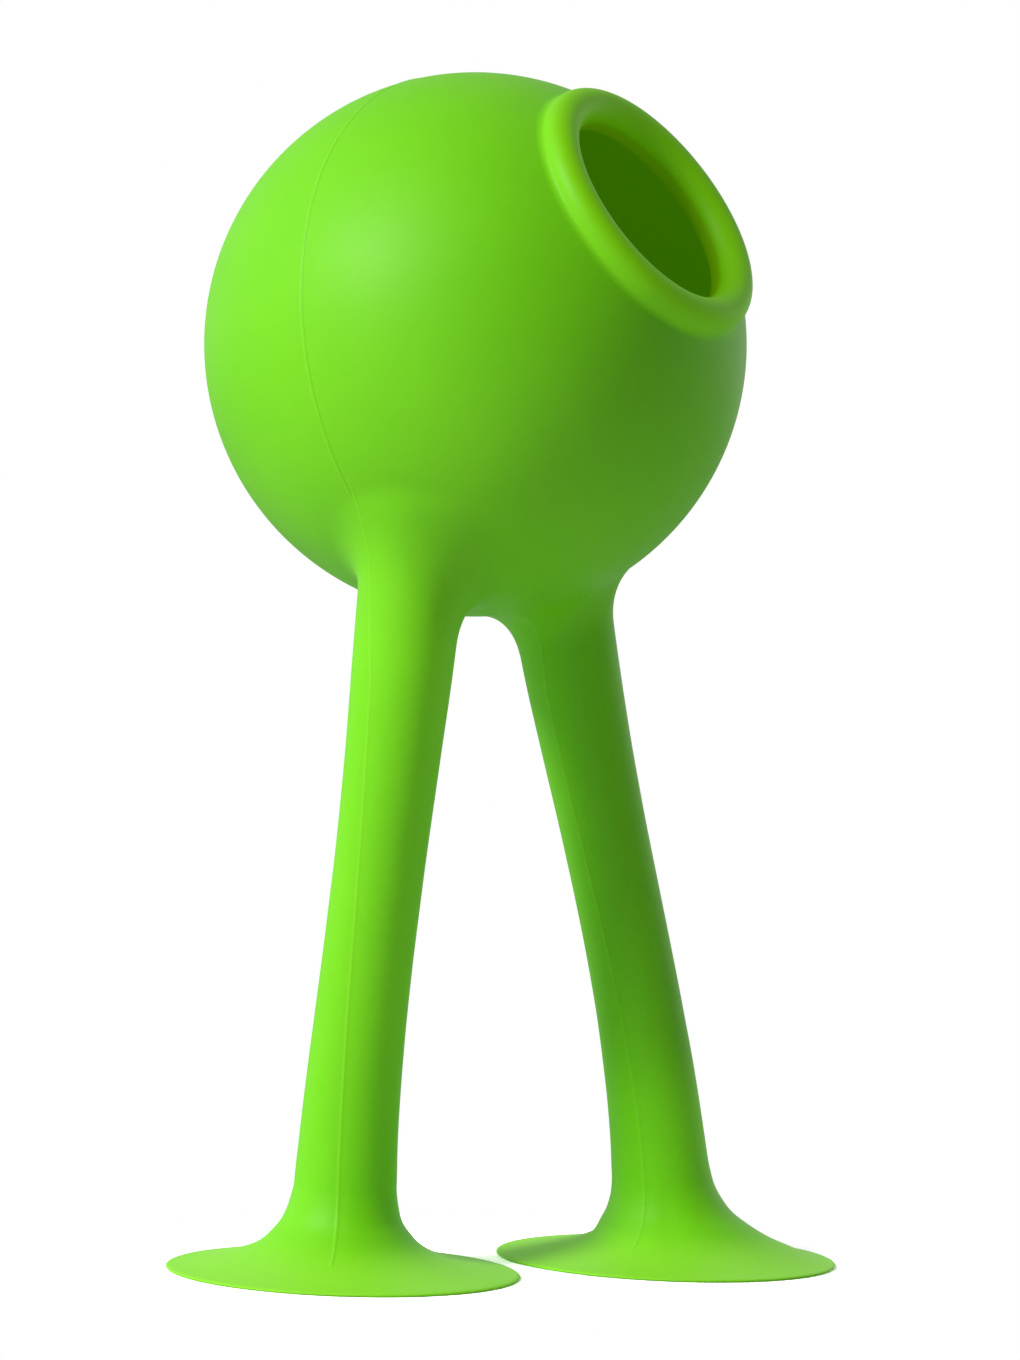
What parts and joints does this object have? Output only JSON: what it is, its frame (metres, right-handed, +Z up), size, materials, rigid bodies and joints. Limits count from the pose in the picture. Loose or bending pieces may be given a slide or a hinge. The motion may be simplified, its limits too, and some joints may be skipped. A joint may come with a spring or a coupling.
{
  "type": "squeeze bulb with suction-cup legs",
  "caption": "Hollow soft bulb with a rolled round mouth, standing on two flexible legs that end in suction cups.",
  "frame": {"origin": "on the floor, under the centre of the overall box", "axes": "+Z up, mouth facing -Y and upwards, the two legs side by side along X"},
  "size_m": [0.0786, 0.0616, 0.1324],
  "materials": {
    "ball_silicone": "satin translucent silicone, fine moulded surface",
    "lip_silicone": "satin translucent silicone, rolled edge",
    "leg_silicone": "satin translucent silicone, fine moulded surface"
  },
  "bodies": {
    "ball": {"ball_shell": "ball_silicone", "mouth_lip": "lip_silicone"},
    "left_wall": {"left_squeeze_wall": "ball_silicone"},
    "right_wall": {"right_squeeze_wall": "ball_silicone"},
    "left_hip": {"left_hip": "leg_silicone"},
    "left_thigh": {"left_thigh": "leg_silicone"},
    "left_calf": {"left_calf": "leg_silicone"},
    "left_ankle_stem": {"left_ankle_stem": "leg_silicone"},
    "left_foot": {"left_foot": "leg_silicone"},
    "left_suction_lip": {"left_suction_lip": "leg_silicone"},
    "right_hip": {"right_hip": "leg_silicone"},
    "right_thigh": {"right_thigh": "leg_silicone"},
    "right_calf": {"right_calf": "leg_silicone"},
    "right_ankle_stem": {"right_ankle_stem": "leg_silicone"},
    "right_foot": {"right_foot": "leg_silicone"},
    "right_suction_lip": {"right_suction_lip": "leg_silicone"}
  },
  "joints": [
    {"name": "left_squeeze", "type": "slide", "parent": "ball", "child": "left_wall", "axis": [0.9, -0.35, -0.26], "range_m": [0, 0.007], "stiffness_N_per_m": 900},
    {"name": "right_squeeze", "type": "slide", "parent": "ball", "child": "right_wall", "axis": [-0.9, -0.35, -0.26], "range_m": [0, 0.007], "stiffness_N_per_m": 900},
    {"name": "left_hip_swing", "type": "hinge", "parent": "ball", "child": "left_hip", "pos_m": [-0.02311, -0.00121, 0.062], "axis": [-0.9233, 0.3841, 0], "range_deg": [-40, 40], "stiffness_Nm_per_rad": 0.3},
    {"name": "left_hip_splay", "type": "hinge", "parent": "left_hip", "child": "left_thigh", "pos_m": [-0.02219, 0.0005, 0.052], "axis": [0.3841, 0.9233, 0], "range_deg": [0, 40], "stiffness_Nm_per_rad": 0.28},
    {"name": "left_knee_bend", "type": "hinge", "parent": "left_thigh", "child": "left_calf", "pos_m": [-0.02075, 0.00317, 0.038], "axis": [-0.9233, 0.3841, 0], "range_deg": [-40, 40], "stiffness_Nm_per_rad": 0.24},
    {"name": "left_leg_twist", "type": "hinge", "parent": "left_calf", "child": "left_ankle_stem", "pos_m": [-0.01966, 0.00519, 0.027], "axis": [-0.0696, -0.1294, 0.9891], "range_deg": [-45, 45], "stiffness_Nm_per_rad": 0.16},
    {"name": "left_ankle_tilt", "type": "hinge", "parent": "left_ankle_stem", "child": "left_foot", "pos_m": [-0.01875, 0.0069, 0.014], "axis": [-0.9233, 0.3841, 0], "range_deg": [-25, 25], "stiffness_Nm_per_rad": 0.28},
    {"name": "left_cup_press", "type": "slide", "parent": "left_foot", "child": "left_suction_lip", "axis": [0, 0, 1], "range_m": [0, 0.001], "stiffness_N_per_m": 900},
    {"name": "right_hip_swing", "type": "hinge", "parent": "ball", "child": "right_hip", "pos_m": [0.0069, -0.00363, 0.062], "axis": [-0.9233, 0.3841, 0], "range_deg": [-40, 40], "stiffness_Nm_per_rad": 0.3},
    {"name": "right_hip_splay", "type": "hinge", "parent": "right_hip", "child": "right_thigh", "pos_m": [0.00953, -0.00476, 0.052], "axis": [-0.3841, -0.9233, 0], "range_deg": [0, 40], "stiffness_Nm_per_rad": 0.28},
    {"name": "right_knee_bend", "type": "hinge", "parent": "right_thigh", "child": "right_calf", "pos_m": [0.01329, -0.00637, 0.038], "axis": [-0.9233, 0.3841, 0], "range_deg": [-40, 40], "stiffness_Nm_per_rad": 0.24},
    {"name": "right_leg_twist", "type": "hinge", "parent": "right_calf", "child": "right_ankle_stem", "pos_m": [0.01595, -0.00752, 0.027], "axis": [0.1853, -0.0796, -0.9794], "range_deg": [-45, 45], "stiffness_Nm_per_rad": 0.16},
    {"name": "right_ankle_tilt", "type": "hinge", "parent": "right_ankle_stem", "child": "right_foot", "pos_m": [0.01841, -0.00857, 0.014], "axis": [-0.9233, 0.3841, 0], "range_deg": [-25, 25], "stiffness_Nm_per_rad": 0.28},
    {"name": "right_cup_press", "type": "slide", "parent": "right_foot", "child": "right_suction_lip", "axis": [0, 0, 1], "range_m": [0, 0.001], "stiffness_N_per_m": 900}
  ]
}
